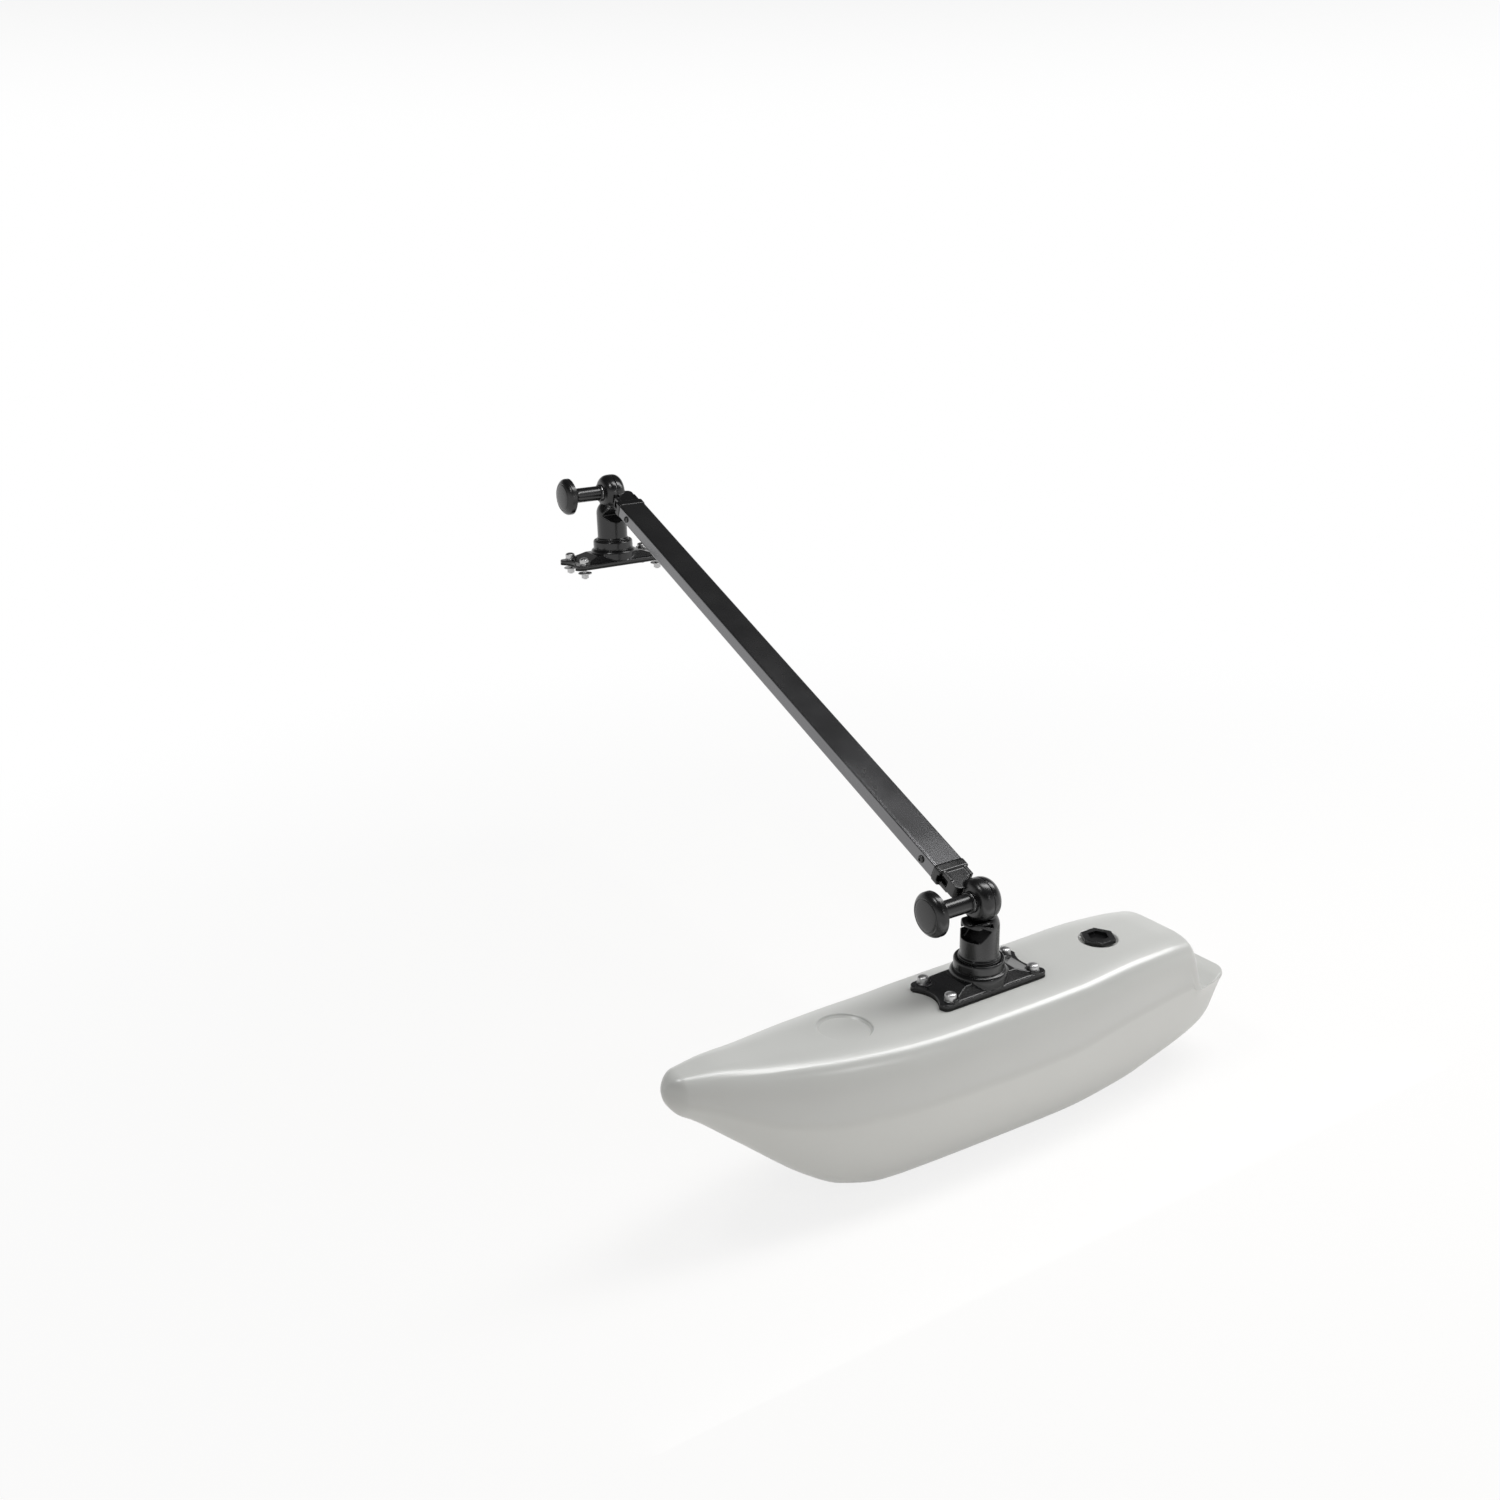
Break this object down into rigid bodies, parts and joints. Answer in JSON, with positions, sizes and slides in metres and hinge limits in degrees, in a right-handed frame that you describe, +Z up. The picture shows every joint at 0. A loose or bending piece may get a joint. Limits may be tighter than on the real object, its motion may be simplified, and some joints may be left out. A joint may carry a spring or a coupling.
{
  "type": "kayak outrigger",
  "caption": "Stabiliser float for a kayak on a folding tube arm, with knob-clamped knuckles and swivel posts on bolted base plates.",
  "frame": {"origin": "centre of the underside of the upper deck pad, where the outrigger sits on the boat's gunwale deck", "axes": "+X towards the stern, +Y inboard across the boat, +Z up; the arm runs outboard along -Y and down to the float"},
  "size_m": [0.7616, 0.9476, 0.6565],
  "materials": {
    "float_polyethylene": "satin rotomoulded polyethylene, pale warm grey",
    "black_nylon": "satin-gloss glass-filled nylon, black",
    "black_anodised_tube": "satin black anodised",
    "stainless_steel": "polished stainless steel",
    "brass": "plain",
    "black_rubber": "matt"
  },
  "bodies": {
    "upper_base": {"upper_base_pad": "black_rubber", "upper_base_plate": "black_nylon", "upper_washer_bow_inboard": "stainless_steel", "upper_washer_bow_outboard": "stainless_steel", "upper_washer_stern_inboard": "stainless_steel", "upper_washer_stern_outboard": "stainless_steel", "upper_bolt_bow_inboard": "stainless_steel", "upper_bolt_bow_outboard": "stainless_steel", "upper_bolt_stern_inboard": "stainless_steel", "upper_bolt_stern_outboard": "stainless_steel", "upper_backing_washer_bow_inboard": "stainless_steel", "upper_backing_washer_bow_outboard": "stainless_steel", "upper_backing_washer_stern_inboard": "stainless_steel", "upper_backing_washer_stern_outboard": "stainless_steel", "upper_locknut_bow_inboard": "stainless_steel", "upper_locknut_bow_outboard": "stainless_steel", "upper_locknut_stern_inboard": "stainless_steel", "upper_locknut_stern_outboard": "stainless_steel"},
    "upper_post": {"upper_post": "black_nylon", "upper_swivel_washer": "stainless_steel", "upper_swivel_bolt": "stainless_steel"},
    "upper_knob": {"upper_knob": "black_nylon", "upper_knob_stud": "stainless_steel", "upper_knob_washer": "stainless_steel"},
    "arm": {"arm_tube": "black_anodised_tube", "arm_upper_end": "black_nylon", "arm_upper_hinge_nut": "stainless_steel", "arm_upper_screw": "stainless_steel", "upper_friction_disc": "black_rubber", "arm_lower_end": "black_nylon", "arm_lower_screw": "stainless_steel", "lower_friction_disc": "black_rubber"},
    "lower_knob": {"lower_knob": "black_nylon", "lower_knob_stud": "stainless_steel", "lower_knob_washer": "stainless_steel"},
    "lower_post": {"lower_post": "black_nylon", "lower_swivel_washer": "stainless_steel", "lower_swivel_bolt": "stainless_steel", "lower_hinge_nut": "stainless_steel"},
    "float": {"float_shell": "float_polyethylene", "lower_base_pad": "black_rubber", "lower_base_plate": "black_nylon", "lower_washer_bow_inboard": "stainless_steel", "lower_washer_bow_outboard": "stainless_steel", "lower_washer_stern_inboard": "stainless_steel", "lower_washer_stern_outboard": "stainless_steel", "lower_bolt_bow_inboard": "stainless_steel", "lower_bolt_bow_outboard": "stainless_steel", "lower_bolt_stern_inboard": "stainless_steel", "lower_bolt_stern_outboard": "stainless_steel", "float_insert_bow_inboard": "brass", "float_insert_bow_outboard": "brass", "float_insert_stern_inboard": "brass", "float_insert_stern_outboard": "brass", "drain_seal": "black_rubber"},
    "drain_plug": {"drain_plug": "black_nylon"}
  },
  "joints": [
    {"name": "upper_swivel", "type": "hinge", "parent": "upper_base", "child": "upper_post", "pos_m": [0, 0, 0.029], "axis": [0, 0, 1], "range_deg": [-90, 90]},
    {"name": "upper_tilt", "type": "hinge", "parent": "upper_post", "child": "arm", "pos_m": [0.008, 0, 0.104], "axis": [-1, 0, 0], "range_deg": [-12, 110]},
    {"name": "upper_knob_turn", "type": "hinge", "parent": "upper_post", "child": "upper_knob", "pos_m": [-0.05, 0, 0.104], "axis": [-1, 0, 0], "range_deg": [0, 360]},
    {"name": "lower_tilt", "type": "hinge", "parent": "arm", "child": "lower_post", "pos_m": [0.016, -0.82872, -0.23927], "axis": [-1, 0, 0], "range_deg": [-30, 90]},
    {"name": "lower_knob_turn", "type": "hinge", "parent": "arm", "child": "lower_knob", "pos_m": [-0.034, -0.82872, -0.23927], "axis": [-1, 0, 0], "range_deg": [0, 360]},
    {"name": "lower_swivel", "type": "hinge", "parent": "lower_post", "child": "float", "pos_m": [0.016, -0.82872, -0.31427], "axis": [0, 0, 1], "range_deg": [-90, 90]},
    {"name": "drain_plug_turn", "type": "hinge", "parent": "float", "child": "drain_plug", "pos_m": [0.201, -0.82872, -0.34507], "axis": [0, 0, 1], "range_deg": [0, 360]}
  ]
}
